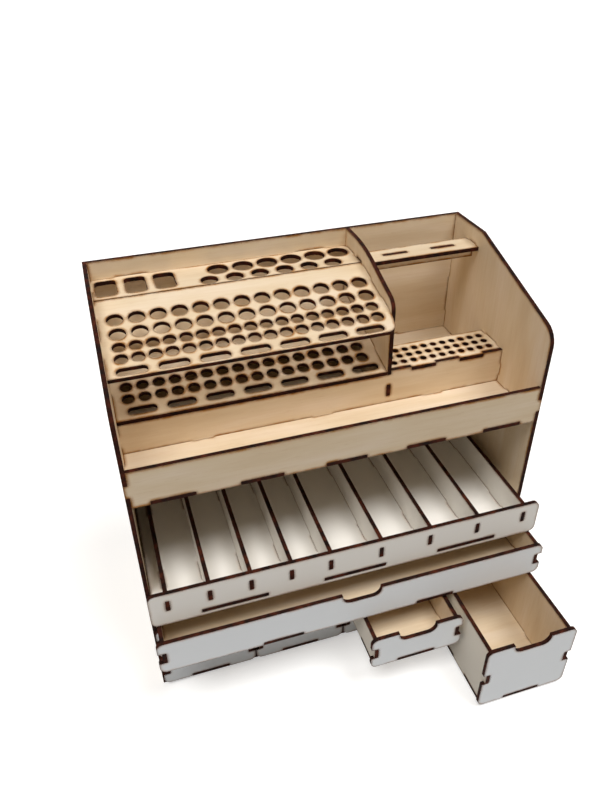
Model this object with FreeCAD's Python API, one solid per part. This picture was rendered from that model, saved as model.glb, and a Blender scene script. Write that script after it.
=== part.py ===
import FreeCAD, Part
import math
import os

# Hobby workstation organizer of laser-cut plywood, millimetres, +Z up.
# The origin is the centre of the carcass's underside, and the front faces -Y.
# Every board is one sheet thick and meets its neighbours with finger joints or
# with tabs in slots. The eight drawers and the bottle tray slide out along -Y.

# Carcass
SHEET = 3.0
WIDTH = 300.0
DEPTH = 150.0
HEIGHT = 296.0
SIDE_TOP_FLAT = 45.0
SIDE_FRONT_DROP = 33.0
SIDE_CORNER_RADIUS = 15.0
SMALL_BAY_HEIGHT = 29.5
WIDE_BAY_HEIGHT = 31.0
BOTTLE_BAY_HEIGHT = 87.0
RAIL_HEIGHT = 30.0
SHELF_TAB_LENGTH = 16.0
SHELF_TAB_INSET = 32.0
BACK_TAB_LENGTH = 24.0
BACK_TAB_INSET = 60.0
CORNER_FINGER_LENGTH = 24.0
CORNER_FINGER_PITCH = 56.0
COMB_FINGER_LENGTH = 30.0
COMB_PITCH = 60.0
KEY_TAB_LENGTH = 10.0
KEY_TAB_HEIGHT = 11.2
DIVIDER_TAB_LENGTH = 14.0
TOP_SHELF_TAB_INSET = 12.0
COMB_PITCHES_PER_SIDE = 3
JOINT_FIT = 0.1

# Chords in a small rounded corner and in a wide one, and sides of a round hole
CORNER_CHORDS = 3
WIDE_CORNER_CHORDS = 6
WIDE_CORNER_RADIUS = 10.0
HOLE_SIDES = 8

# Tool rack
RISER_SETBACK = 53.0
RISER_HEIGHT = 28.5
RIGHT_BAY_WIDTH = 93.0
DIVIDER_TOP_FLAT = 35.0
DIVIDER_BROW_RADIUS = 120.0
DIVIDER_NOSE_RISE = 8.2
DIVIDER_NOSE_RADIUS = 10.0
DIVIDER_UPPER_TAB_DROP = 32.0
RACK_TILT = 13.0
LOWER_SHELF_RISE = 28.0
TOP_SHELF_DROP = 14.0
TOP_SHELF_DEPTH = 34.0
UPPER_SHELF_LEAD = 16.4
UPPER_SHELF_NOSE_TAPER = 2.5
UPPER_SHELF_CORNER_RADIUS = 8.0
UPPER_TAB_FRONT_INSET = 28.0
LOWER_TAB_FRONT_INSET = 34.0
LEAN_TAB_BACK_INSET = 12.0
UPPER_SLOT_PITCH = 26.9
LOWER_SLOT_PITCH = 27.4
SLOT_LENGTH = 20.2
SLOT_WIDTH = 6.6
FIRST_UPPER_SLOT_INSET = 16.2
FIRST_LOWER_SLOT_INSET = 18.9
SLOT_ROW = 5.2
LOWER_ROW_SHIFT = 2.5
UPPER_SMALL_HOLE_PITCH = 11.04
LOWER_SMALL_HOLE_PITCH = 11.6
SMALL_HOLE_RADIUS = 4.4
FIRST_SMALL_HOLE_INSET = 10.8
SMALL_HOLE_ROW = 17.0
LARGE_HOLE_PITCH = 14.68
LARGE_HOLE_RADIUS = 5.6
FIRST_LARGE_HOLE_INSET = 11.7
LARGE_HOLE_ROW = 40.8
TOP_HOLE_PITCH = 19.0
TOP_HOLE_RADIUS = 7.8
TOP_HOLE_END_INSET = 10.5
TOP_HOLE_BACK_INSET = 11.0
TOP_FRONT_HOLE_RADIUS = 6.4
TOP_ROW_PITCH = 16.0
SOCKET_WIDTH = 15.0
SOCKET_DEPTH = 25.0
SOCKET_PITCH = 21.0
SOCKET_COUNT = 3
SOCKET_CORNER_RADIUS = 3.5
FIRST_SOCKET_INSET = 10.0
BIT_PLATE_DEPTH = 30.0
BIT_HOLE_PITCH = 8.0
BIT_HOLE_RADIUS = 2.5
BIT_HOLE_INSET = 6.0
BIT_ROW_COUNT = 3
FRONT_TAB_LENGTH = 20.0
FRONT_TAB_PITCH = 40.0
PLIERS_BAR_DROP = 13.0
PLIERS_BAR_DEPTH = 20.0
PLIERS_BAR_BACK_GAP = 20.0
PLIERS_BAR_TAB_LENGTH = 10.0
STIFFENER_HEIGHT = 8.0

# Drawers and bottle tray
FRONT_MARGIN = 1.3
WIDE_FRONT_MARGIN = 0.6
FRONT_GAP = 1.0
ROW_GAP = 1.2
FRONT_CORNER_RADIUS = 5.0
RUNNING_GAP = 0.2
DRAWER_BACK_GAP = 6.2
WALL_INSET = 2.5
WIDE_WALL_INSET = 3.2
WALL_HEADROOM = 1.0
WALL_TAB_LENGTH = 10.0
FLOOR_TAB_LENGTH = 30.0
WIDE_FLOOR_TAB_SPREAD = 120.0
GRIP_WIDTH = 30.0
GRIP_DEPTH = 8.0
GRIP_RADIUS = 6.5
TRAY_FRONT_HEIGHT = 30.0
TRAY_FRONT_DROP = 2.9
TRAY_WALL_INSET = 12.1
NARROW_CELL_PITCH = 29.3
NARROW_CELL_COUNT = 4
WIDE_CELL_COUNT = 4
TRAY_TAB_LENGTH = 9.5
TRAY_TAB_DROP = 7.0
TRAY_FLOOR_TAB_LENGTH = 48.0
TRAY_FLOOR_TAB_PITCH = 90.0
FOOT_TAB_LENGTH = 18.0

# How far each moving piece stands open in the rest state
TRAY_OPEN = 21.0
WIDE_OPEN = 36.0
SHORT_OPEN = 57.0
TALL_OPEN = 92.0

# Points nearer than this are one point
SAME_POINT = 1e-6

# Places worked out from the sizes above
LEFT = -WIDTH / 2
RIGHT = WIDTH / 2
FRONT = -DEPTH / 2
BACK = DEPTH / 2
INNER_LEFT = LEFT + SHEET
INNER_RIGHT = RIGHT - SHEET
INNER_BACK = BACK - SHEET
DRAWER_DEPTH = INNER_BACK - FRONT + SHEET + RUNNING_GAP - DRAWER_BACK_GAP
ROW_LEVEL = SHEET + SMALL_BAY_HEIGHT
MIDDLE_LEVEL = ROW_LEVEL + SHEET + SMALL_BAY_HEIGHT
TRAY_LEVEL = MIDDLE_LEVEL + SHEET + WIDE_BAY_HEIGHT
DECK_LEVEL = TRAY_LEVEL + SHEET + BOTTLE_BAY_HEIGHT
DECK_TOP = DECK_LEVEL + SHEET
KEY_TAB_CENTRE = DECK_TOP + KEY_TAB_HEIGHT
RISER_FRONT = FRONT + RISER_SETBACK
RISER_TOP = DECK_TOP + RISER_HEIGHT
RACK_DIVIDER_LEFT = INNER_RIGHT - RIGHT_BAY_WIDTH - SHEET
TILT = math.radians(RACK_TILT)
LOWER_SHELF_FRONT_TOP = DECK_TOP + LOWER_SHELF_RISE
LOWER_SHELF_UNDERSIDE = LOWER_SHELF_FRONT_TOP - SHEET * math.cos(TILT)
LEAN_SHIFT = SHEET * math.sin(TILT)
LOWER_SHELF_DEPTH = (INNER_BACK - RISER_FRONT - LEAN_SHIFT) / math.cos(TILT)
TOP_SHELF_LEVEL = HEIGHT - TOP_SHELF_DROP - SHEET
TOP_SHELF_FRONT = INNER_BACK - TOP_SHELF_DEPTH
UPPER_SHELF_BACK = TOP_SHELF_FRONT - LEAN_SHIFT - JOINT_FIT
UPPER_SHELF_FRONT = RISER_FRONT - UPPER_SHELF_LEAD
UPPER_SHELF_DEPTH = (UPPER_SHELF_BACK - UPPER_SHELF_FRONT) / math.cos(TILT)
UPPER_SHELF_FRONT_TOP = TOP_SHELF_LEVEL + SHEET - UPPER_SHELF_DEPTH * math.sin(TILT)
DIVIDER_NOSE_TOP = UPPER_SHELF_FRONT_TOP + UPPER_SHELF_LEAD * math.tan(TILT) + DIVIDER_NOSE_RISE
PLIERS_BAR_LEVEL = HEIGHT - PLIERS_BAR_DROP - SHEET
PLIERS_BAR_FRONT = INNER_BACK - PLIERS_BAR_BACK_GAP - PLIERS_BAR_DEPTH
BIT_PLATE_LEVEL = RISER_TOP - SHEET
SMALL_FRONT_WIDTH = (WIDTH - 2 * FRONT_MARGIN - 3 * FRONT_GAP) / 4
COLUMN_PITCH = SMALL_FRONT_WIDTH + FRONT_GAP
COLUMN_DIVIDERS = [LEFT + FRONT_MARGIN - FRONT_GAP / 2 + COLUMN_PITCH * n for n in (1, 2, 3)]

# Where the tabs and fingers lie, shared by each board and the slots that take it
SHELF_TABS = [FRONT + SHELF_TAB_INSET, BACK - SHELF_TAB_INSET]
BACK_TABS = [LEFT + BACK_TAB_INSET, 0.0, RIGHT - BACK_TAB_INSET]
CORNER_FINGER_COUNT = int(HEIGHT / CORNER_FINGER_PITCH)
CORNER_FINGERS = [CORNER_FINGER_PITCH * (n + 0.5) for n in range(CORNER_FINGER_COUNT)]
COMB_STEPS = range(-COMB_PITCHES_PER_SIDE, COMB_PITCHES_PER_SIDE)
COMB_FINGERS = [COMB_PITCH * (n + 0.5) for n in COMB_STEPS]
RISER_TABS = [LEFT + BACK_TAB_INSET, 0.0, RIGHT - BACK_TAB_INSET]
DIVIDER_TABS = [FRONT + SHELF_TAB_INSET, BACK - SHELF_TAB_INSET]
DIVIDER_BACK_TAB = ROW_LEVEL + SHEET + SMALL_BAY_HEIGHT / 2
RACK_DIVIDER_FOOT = (RISER_FRONT + SHEET + INNER_BACK) / 2
RACK_DIVIDER_BACK_TABS = [RISER_TOP, TOP_SHELF_LEVEL - DIVIDER_UPPER_TAB_DROP]
LOWER_SHELF_TABS = [LOWER_TAB_FRONT_INSET, LOWER_SHELF_DEPTH - LEAN_TAB_BACK_INSET]
UPPER_SHELF_TABS = [UPPER_TAB_FRONT_INSET, UPPER_SHELF_DEPTH - LEAN_TAB_BACK_INSET]
TOP_SHELF_MIDDLE = (TOP_SHELF_FRONT + INNER_BACK) / 2
TOP_SHELF_TAB = INNER_BACK - TOP_SHELF_TAB_INSET
TOP_BACK_TABS = [INNER_LEFT + BACK_TAB_INSET / 2, RACK_DIVIDER_LEFT - BACK_TAB_INSET / 2]
BIT_PLATE_TAB = RISER_FRONT + SHEET + BIT_PLATE_DEPTH / 2
RIGHT_BAY_CENTRE = INNER_RIGHT - RIGHT_BAY_WIDTH / 2
FRONT_TABS = [RIGHT_BAY_CENTRE - FRONT_TAB_PITCH / 2, RIGHT_BAY_CENTRE + FRONT_TAB_PITCH / 2]
PLIERS_BAR_CENTRE = PLIERS_BAR_FRONT + PLIERS_BAR_DEPTH / 2


def wire(corners, chords=CORNER_CHORDS):
    """Closed flat wire through corners; a third number in a corner is its radius.

    A rounded corner is cut as a few chords of its arc, and a wide one as more.
    """
    places = [FreeCAD.Vector(corner[0], corner[1], 0) for corner in corners]
    points = []
    for index, corner in enumerate(corners):
        here = places[index]
        if len(corner) < 3:
            points.append(here)
            continue
        radius = corner[2]
        towards = (places[index - 1] - here).normalize()
        away = (places[(index + 1) % len(places)] - here).normalize()
        half_angle = towards.getAngle(away) / 2
        reach = radius / math.tan(half_angle)
        nearest = radius / math.sin(half_angle) - radius
        middle = here + (towards + away).normalize() * nearest
        arc = Part.Arc(here + towards * reach, middle, here + away * reach)
        cuts = WIDE_CORNER_CHORDS if radius >= WIDE_CORNER_RADIUS else chords
        points += arc.toShape().discretize(cuts + 1)
    kept = []
    for index, point in enumerate(points):
        if point.distanceToPoint(points[index - 1]) > SAME_POINT:
            kept.append(point)
    return Part.makePolygon(kept + kept[:1])


def rectangle(left, right, bottom, top):
    """Closed wire of a plain rectangle."""
    return wire([(left, bottom), (right, bottom), (right, top), (left, top)])


def slot_for(centre_u, centre_v, length, across=SHEET, turned=0.0):
    """Slot that takes a tab, a joint fit larger all round, turned by an angle in degrees."""
    half_length = length / 2 + JOINT_FIT
    half_across = across / 2 + JOINT_FIT
    outline = rectangle(-half_length, half_length, -half_across, half_across)
    outline.rotate(FreeCAD.Vector(0, 0, 0), FreeCAD.Vector(0, 0, 1), turned)
    outline.translate(FreeCAD.Vector(centre_u, centre_v, 0))
    return outline


def round_hole(centre_u, centre_v, radius):
    """Closed wire of a round hole, cut as a polygon whose sides touch the circle."""
    step = math.pi / HOLE_SIDES
    reach = radius / math.cos(step)
    corners = []
    for number in range(HOLE_SIDES):
        angle = step * (2 * number + 1)
        corners.append((centre_u + reach * math.cos(angle), centre_v + reach * math.sin(angle)))
    return wire(corners)


def rounded_slot(centre_u, centre_v, length, width, radius):
    """Closed wire of a slot or socket with rounded corners."""
    half_length = length / 2
    half_width = width / 2
    return wire([
        (centre_u - half_length, centre_v - half_width, radius),
        (centre_u + half_length, centre_v - half_width, radius),
        (centre_u + half_length, centre_v + half_width, radius),
        (centre_u - half_length, centre_v + half_width, radius),
    ], HOLE_SIDES // 4)


def edge(start, end, centres=(), length=0.0, reach=0.0):
    """Corners of a straight edge from start up to end, with square fingers on it.

    The edge follows one axis and the fingers stand out to its right by reach, or
    are cut in where reach is negative. Centres are places along that axis. A finger
    that runs past an end of the edge stops there.
    """
    axis = 0 if start[1] == end[1] else 1
    way = 1 if end[axis] > start[axis] else -1
    span = abs(end[axis] - start[axis])
    out = (0, -way * reach) if axis == 0 else (way * reach, 0)

    def corner(distance, offset):
        place = [start[0], start[1]]
        place[axis] += way * distance
        return (place[0] + out[0] * offset, place[1] + out[1] * offset)

    corners = []
    for centre in sorted(centres, key=lambda value: way * value):
        near = way * (centre - start[axis]) - length / 2
        far = near + length
        if far <= 0 or near >= span:
            continue
        if near > 0:
            corners.append(corner(near, 0))
        corners.append(corner(max(near, 0), 1))
        corners.append(corner(min(far, span), 1))
        if far < span:
            corners.append(corner(far, 0))
    first_finger_covers_start = bool(corners) and corners[0] == corner(0, 1)
    if first_finger_covers_start:
        return corners
    return [corner(0, 0)] + corners


def notches(start, end, centres, length, depth=SHEET):
    """Corners of an edge with notches that take fingers of the given length."""
    return edge(start, end, centres, length + 2 * JOINT_FIT, -depth)


def board(outline, openings=()):
    """One sheet lying flat with its underside at zero, cut from wires or corners."""
    outer = wire(outline) if isinstance(outline, list) else outline
    face = Part.makeFace([outer, *openings], "Part::FaceMakerBullseye")
    return face.extrude(FreeCAD.Vector(0, 0, SHEET))


def lay(flat_board, underside):
    """Lay a board level with its underside at a height."""
    flat_board.translate(FreeCAD.Vector(0, 0, underside))
    return flat_board


def face_front(flat_board, front):
    """Stand a board across the object with its front face at a y."""
    flat_board.rotate(FreeCAD.Vector(0, 0, 0), FreeCAD.Vector(1, 0, 0), 90)
    flat_board.translate(FreeCAD.Vector(0, front + SHEET, 0))
    return flat_board


def face_side(flat_board, left):
    """Stand a board front to back with its left face at an x."""
    flat_board.rotate(FreeCAD.Vector(0, 0, 0), FreeCAD.Vector(1, 1, 1), 120)
    flat_board.translate(FreeCAD.Vector(left, 0, 0))
    return flat_board


def lean(flat_board, front, front_top):
    """Tilt a board by the rack's angle with its upper front edge at a y and a z."""
    flat_board.translate(FreeCAD.Vector(0, 0, -SHEET))
    flat_board.rotate(FreeCAD.Vector(0, 0, 0), FreeCAD.Vector(1, 0, 0), RACK_TILT)
    flat_board.translate(FreeCAD.Vector(0, front, front_top))
    return flat_board


def leaning_place(front, front_top, distance):
    """The y and z of the middle of a leaning board's sheet, a distance up its slope."""
    y = front + distance * math.cos(TILT) + SHEET / 2 * math.sin(TILT)
    z = front_top + distance * math.sin(TILT) - SHEET / 2 * math.cos(TILT)
    return y, z


def steps(first, limit, pitch):
    """Places from first up to a limit, one pitch apart."""
    count = int((limit - first) / pitch + SAME_POINT) + 1
    return [first + pitch * n for n in range(count)]


# Carcass boards

def level_slots(underside):
    """Slots in a side panel for the two end tabs of a level board."""
    return [slot_for(y, underside + SHEET / 2, SHELF_TAB_LENGTH) for y in SHELF_TABS]


def leaning_slots(front, front_top, tabs):
    """Slots in a side panel or the rack divider for the end tabs of a leaning shelf."""
    slots = []
    for distance in tabs:
        y, z = leaning_place(front, front_top, distance)
        slots.append(slot_for(y, z, SHELF_TAB_LENGTH, turned=RACK_TILT))
    return slots


def lower_shelf_slots():
    return leaning_slots(RISER_FRONT, LOWER_SHELF_FRONT_TOP, LOWER_SHELF_TABS)


def upper_shelf_slots():
    return leaning_slots(UPPER_SHELF_FRONT, UPPER_SHELF_FRONT_TOP, UPPER_SHELF_TABS)


def top_shelf_slot():
    return slot_for(TOP_SHELF_TAB, TOP_SHELF_LEVEL + SHEET / 2, SHELF_TAB_LENGTH)


def bit_plate_slot():
    return slot_for(BIT_PLATE_TAB, BIT_PLATE_LEVEL + SHEET / 2, SHELF_TAB_LENGTH)


def pliers_bar_slot():
    return slot_for(PLIERS_BAR_CENTRE, PLIERS_BAR_LEVEL + SHEET / 2, PLIERS_BAR_TAB_LENGTH)


def side_panel(left, own_slots):
    """Side of the carcass: a straight foot, a sloping top and a rounded front corner."""
    outline = notches((FRONT, 0), (BACK, 0), SHELF_TABS, SHELF_TAB_LENGTH)
    outline += notches((BACK, 0), (BACK, HEIGHT), CORNER_FINGERS, CORNER_FINGER_LENGTH)
    outline += [(BACK, HEIGHT), (BACK - SIDE_TOP_FLAT, HEIGHT)]
    outline += [(FRONT, HEIGHT - SIDE_FRONT_DROP, SIDE_CORNER_RADIUS)]
    rail_notch = notches((FRONT, RISER_TOP), (FRONT, 0), [KEY_TAB_CENTRE], KEY_TAB_LENGTH)
    outline += rail_notch[1:]
    slots = level_slots(MIDDLE_LEVEL) + level_slots(TRAY_LEVEL) + level_slots(DECK_LEVEL)
    riser_slot = slot_for(RISER_FRONT + SHEET / 2, KEY_TAB_CENTRE, SHEET, KEY_TAB_LENGTH)
    return face_side(board(outline, slots + [riser_slot] + own_slots), left)


def left_side_panel():
    own_slots = level_slots(ROW_LEVEL) + lower_shelf_slots() + upper_shelf_slots()
    return side_panel(LEFT, own_slots + [top_shelf_slot()])


def right_side_panel():
    return side_panel(INNER_RIGHT, [bit_plate_slot(), pliers_bar_slot()])


def back_panel():
    """Back of the carcass, fingered into both sides and slotted for every shelf."""
    outline = notches((INNER_LEFT, 0), (INNER_RIGHT, 0), BACK_TABS, BACK_TAB_LENGTH)
    outline += edge((INNER_RIGHT, 0), (INNER_RIGHT, HEIGHT), CORNER_FINGERS, CORNER_FINGER_LENGTH, SHEET)
    outline += [(INNER_RIGHT, HEIGHT)]
    outline += edge((INNER_LEFT, HEIGHT), (INNER_LEFT, 0), CORNER_FINGERS, CORNER_FINGER_LENGTH, SHEET)
    slots = []
    for underside in (MIDDLE_LEVEL, TRAY_LEVEL, DECK_LEVEL):
        slots += [slot_for(x, underside + SHEET / 2, BACK_TAB_LENGTH) for x in BACK_TABS]
    slots += [slot_for(x, ROW_LEVEL + SHEET / 2, BACK_TAB_LENGTH) for x in row_panel_back_tabs()]
    slots += [slot_for(x, TOP_SHELF_LEVEL + SHEET / 2, BACK_TAB_LENGTH) for x in TOP_BACK_TABS]
    slots += [slot_for(x, DIVIDER_BACK_TAB, SHEET, DIVIDER_TAB_LENGTH) for x in COLUMN_DIVIDERS]
    rack_divider_middle = RACK_DIVIDER_LEFT + SHEET / 2
    slots += [slot_for(rack_divider_middle, z, SHEET, SHELF_TAB_LENGTH) for z in RACK_DIVIDER_BACK_TABS]
    return face_front(board(outline, slots), INNER_BACK)


def level_board(underside, front_edge=None, openings=(), front=FRONT):
    """Full-width shelf with two tabs in each side panel and three in the back."""
    outline = front_edge or [(INNER_LEFT, front)]
    outline += edge((INNER_RIGHT, front), (INNER_RIGHT, INNER_BACK), SHELF_TABS, SHELF_TAB_LENGTH, SHEET)
    outline += edge((INNER_RIGHT, INNER_BACK), (INNER_LEFT, INNER_BACK), BACK_TABS, BACK_TAB_LENGTH, SHEET)
    outline += edge((INNER_LEFT, INNER_BACK), (INNER_LEFT, front), SHELF_TABS, SHELF_TAB_LENGTH, SHEET)
    return lay(board(outline, openings), underside)


def column_slots():
    """Slots for the tabs at the foot and the head of the column dividers."""
    return [slot_for(x, y, SHEET, DIVIDER_TAB_LENGTH) for x in COLUMN_DIVIDERS for y in DIVIDER_TABS]


def base_panel():
    return level_board(0.0, openings=column_slots())


def middle_panel():
    return level_board(MIDDLE_LEVEL, openings=column_slots())


def tray_panel():
    return level_board(TRAY_LEVEL)


def row_panel_back_tabs():
    """Middles of the three columns that the row panel closes."""
    return [divider - COLUMN_PITCH / 2 for divider in COLUMN_DIVIDERS]


def row_panel():
    """Shelf between the two rows of short drawers, halved over two column dividers."""
    end = COLUMN_DIVIDERS[2] - SHEET / 2
    half_depth = (INNER_BACK - FRONT) / 2
    outline = notches((INNER_LEFT, FRONT), (end, FRONT), COLUMN_DIVIDERS[:2], SHEET, half_depth)
    outline += edge((end, FRONT), (end, INNER_BACK), SHELF_TABS, SHELF_TAB_LENGTH, SHEET)
    back_tabs = row_panel_back_tabs()
    outline += edge((end, INNER_BACK), (INNER_LEFT, INNER_BACK), back_tabs, BACK_TAB_LENGTH, SHEET)
    outline += edge((INNER_LEFT, INNER_BACK), (INNER_LEFT, FRONT), SHELF_TABS, SHELF_TAB_LENGTH, SHEET)
    return lay(board(outline), ROW_LEVEL)


def column_divider(number):
    """Wall between two drawer columns; the last carries the row panel's end tabs."""
    row_middle = ROW_LEVEL + SHEET / 2
    above_row = ROW_LEVEL + 2 * SHEET
    is_last = number == len(COLUMN_DIVIDERS) - 1
    half_depth = (INNER_BACK - FRONT) / 2
    outline = edge((FRONT, SHEET), (INNER_BACK, SHEET), DIVIDER_TABS, DIVIDER_TAB_LENGTH, SHEET)
    if is_last:
        back_start = (INNER_BACK, SHEET)
        openings = level_slots(ROW_LEVEL)
    else:
        outline += notches((INNER_BACK, SHEET), (INNER_BACK, above_row), [row_middle], SHEET, half_depth)
        back_start = (INNER_BACK, above_row)
        openings = []
    top_back = (INNER_BACK, MIDDLE_LEVEL)
    top_front = (FRONT, MIDDLE_LEVEL)
    outline += edge(back_start, top_back, [DIVIDER_BACK_TAB], DIVIDER_TAB_LENGTH, SHEET)
    outline += edge(top_back, top_front, DIVIDER_TABS, DIVIDER_TAB_LENGTH, SHEET)
    outline += [top_front]
    return face_side(board(outline, openings), COLUMN_DIVIDERS[number] - SHEET / 2)


def deck_panel():
    """Shelf over the bottles; its front is a comb joint with the rail."""
    comb = notches((INNER_LEFT, FRONT), (INNER_RIGHT, FRONT), COMB_FINGERS, COMB_FINGER_LENGTH)
    comb += [(INNER_RIGHT, FRONT + SHEET)]
    openings = [slot_for(x, RISER_FRONT + SHEET / 2, SHELF_TAB_LENGTH) for x in RISER_TABS]
    foot = slot_for(RACK_DIVIDER_LEFT + SHEET / 2, RACK_DIVIDER_FOOT, SHEET, BACK_TAB_LENGTH)
    return level_board(DECK_LEVEL, comb, openings + [foot], FRONT + SHEET)


def front_rail():
    """Upright lip of the deck, combed into it and keyed into both side panels."""
    top = DECK_TOP + RAIL_HEIGHT - SHEET
    outline = edge((INNER_LEFT, DECK_TOP), (INNER_RIGHT, DECK_TOP), COMB_FINGERS, COMB_FINGER_LENGTH, SHEET)
    outline += edge((INNER_RIGHT, DECK_TOP), (INNER_RIGHT, top), [KEY_TAB_CENTRE], KEY_TAB_LENGTH, SHEET)
    outline += edge((INNER_RIGHT, top), (INNER_LEFT, top))
    outline += edge((INNER_LEFT, top), (INNER_LEFT, DECK_TOP), [KEY_TAB_CENTRE], KEY_TAB_LENGTH, SHEET)
    return face_front(board(outline), FRONT)


# Tool rack boards

def riser_panel():
    """Upright board behind the deck's tray that carries the lower shelf and the bit plate."""
    divider_right = RACK_DIVIDER_LEFT + SHEET
    outline = edge((INNER_LEFT, DECK_TOP), (INNER_RIGHT, DECK_TOP), RISER_TABS, SHELF_TAB_LENGTH, SHEET)
    top_right = (INNER_RIGHT, RISER_TOP)
    outline += edge((INNER_RIGHT, DECK_TOP), top_right, [KEY_TAB_CENTRE], KEY_TAB_LENGTH, SHEET)
    outline += notches(top_right, (divider_right, RISER_TOP), FRONT_TABS, FRONT_TAB_LENGTH)
    outline += [(divider_right, RISER_TOP), (divider_right, LOWER_SHELF_UNDERSIDE)]
    outline += edge(
        (INNER_LEFT, LOWER_SHELF_UNDERSIDE), (INNER_LEFT, DECK_TOP), [KEY_TAB_CENTRE], KEY_TAB_LENGTH, SHEET
    )
    key_slot = slot_for(RACK_DIVIDER_LEFT + SHEET / 2, KEY_TAB_CENTRE, SHEET, KEY_TAB_LENGTH)
    return face_front(board(outline, [key_slot]), RISER_FRONT)


def rack_divider():
    """Wall between the rack's bays; it steps over the riser and keys through it."""
    riser_back = RISER_FRONT + SHEET
    foot_back = (INNER_BACK, DECK_TOP)
    top_back = (INNER_BACK, HEIGHT)
    outline = edge((riser_back, DECK_TOP), foot_back, [RACK_DIVIDER_FOOT], BACK_TAB_LENGTH, SHEET)
    outline += edge(foot_back, top_back, RACK_DIVIDER_BACK_TABS, SHELF_TAB_LENGTH, SHEET)
    outline += [top_back, (INNER_BACK - DIVIDER_TOP_FLAT, HEIGHT, DIVIDER_BROW_RADIUS)]
    outline += [(RISER_FRONT, DIVIDER_NOSE_TOP, DIVIDER_NOSE_RADIUS)]
    outline += [(RISER_FRONT, LOWER_SHELF_UNDERSIDE)]
    outline += edge(
        (riser_back, LOWER_SHELF_UNDERSIDE), (riser_back, DECK_TOP), [KEY_TAB_CENTRE], KEY_TAB_LENGTH, SHEET
    )
    openings = lower_shelf_slots() + upper_shelf_slots()
    openings += [top_shelf_slot(), bit_plate_slot(), pliers_bar_slot()]
    return face_side(board(outline, openings), RACK_DIVIDER_LEFT)


def slot_row(first_inset, distance, pitch):
    """Row of long rounded slots across a rack shelf, for flat tools."""
    first = INNER_LEFT + first_inset
    places = steps(first, RACK_DIVIDER_LEFT - SLOT_LENGTH / 2 - SLOT_WIDTH / 2, pitch)
    return [rounded_slot(x, distance, SLOT_LENGTH, SLOT_WIDTH, SLOT_WIDTH / 2) for x in places]


def hole_rows(first_inset, rows, pitch, radius):
    """Rows of round holes on a square grid across a rack shelf."""
    places = steps(INNER_LEFT + first_inset, RACK_DIVIDER_LEFT - radius - SHEET / 2, pitch)
    return [round_hole(x, row, radius) for row in rows for x in places]


def lower_rack_shelf():
    """Leaning shelf on the riser, with a row of slots and two rows of holes."""
    depth = LOWER_SHELF_DEPTH
    end = RACK_DIVIDER_LEFT
    outline = [(INNER_LEFT, 0)]
    outline += edge((end, 0), (end, depth), LOWER_SHELF_TABS, SHELF_TAB_LENGTH, SHEET)
    outline += [(end, depth)]
    outline += edge((INNER_LEFT, depth), (INNER_LEFT, 0), LOWER_SHELF_TABS, SHELF_TAB_LENGTH, SHEET)
    small_row = SMALL_HOLE_ROW + LOWER_ROW_SHIFT
    pitch = LOWER_SMALL_HOLE_PITCH
    small_rows = [small_row, small_row + pitch]
    openings = slot_row(FIRST_LOWER_SLOT_INSET, SLOT_ROW + LOWER_ROW_SHIFT, LOWER_SLOT_PITCH)
    openings += hole_rows(FIRST_SMALL_HOLE_INSET, small_rows, pitch, SMALL_HOLE_RADIUS)
    return lean(board(outline, openings), RISER_FRONT, LOWER_SHELF_FRONT_TOP)


def upper_rack_shelf():
    """Leaning shelf whose right end wraps in front of the rack divider."""
    depth = UPPER_SHELF_DEPTH
    end = RACK_DIVIDER_LEFT
    nose_end = (UPPER_SHELF_LEAD - LEAN_SHIFT) / math.cos(TILT)
    outline = [(INNER_LEFT, 0), (end - UPPER_SHELF_NOSE_TAPER, 0, UPPER_SHELF_CORNER_RADIUS)]
    outline += edge((end, nose_end), (end, depth), UPPER_SHELF_TABS, SHELF_TAB_LENGTH, SHEET)
    outline += [(end, depth)]
    outline += edge((INNER_LEFT, depth), (INNER_LEFT, 0), UPPER_SHELF_TABS, SHELF_TAB_LENGTH, SHEET)
    pitch = UPPER_SMALL_HOLE_PITCH
    small_rows = [SMALL_HOLE_ROW, SMALL_HOLE_ROW + pitch]
    large_rows = steps(LARGE_HOLE_ROW, depth - LARGE_HOLE_RADIUS - SHEET, LARGE_HOLE_PITCH)
    openings = slot_row(FIRST_UPPER_SLOT_INSET, SLOT_ROW, UPPER_SLOT_PITCH)
    openings += hole_rows(FIRST_SMALL_HOLE_INSET, small_rows, pitch, SMALL_HOLE_RADIUS)
    openings += hole_rows(FIRST_LARGE_HOLE_INSET, large_rows, LARGE_HOLE_PITCH, LARGE_HOLE_RADIUS)
    return lean(board(outline, openings), UPPER_SHELF_FRONT, UPPER_SHELF_FRONT_TOP)


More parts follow.
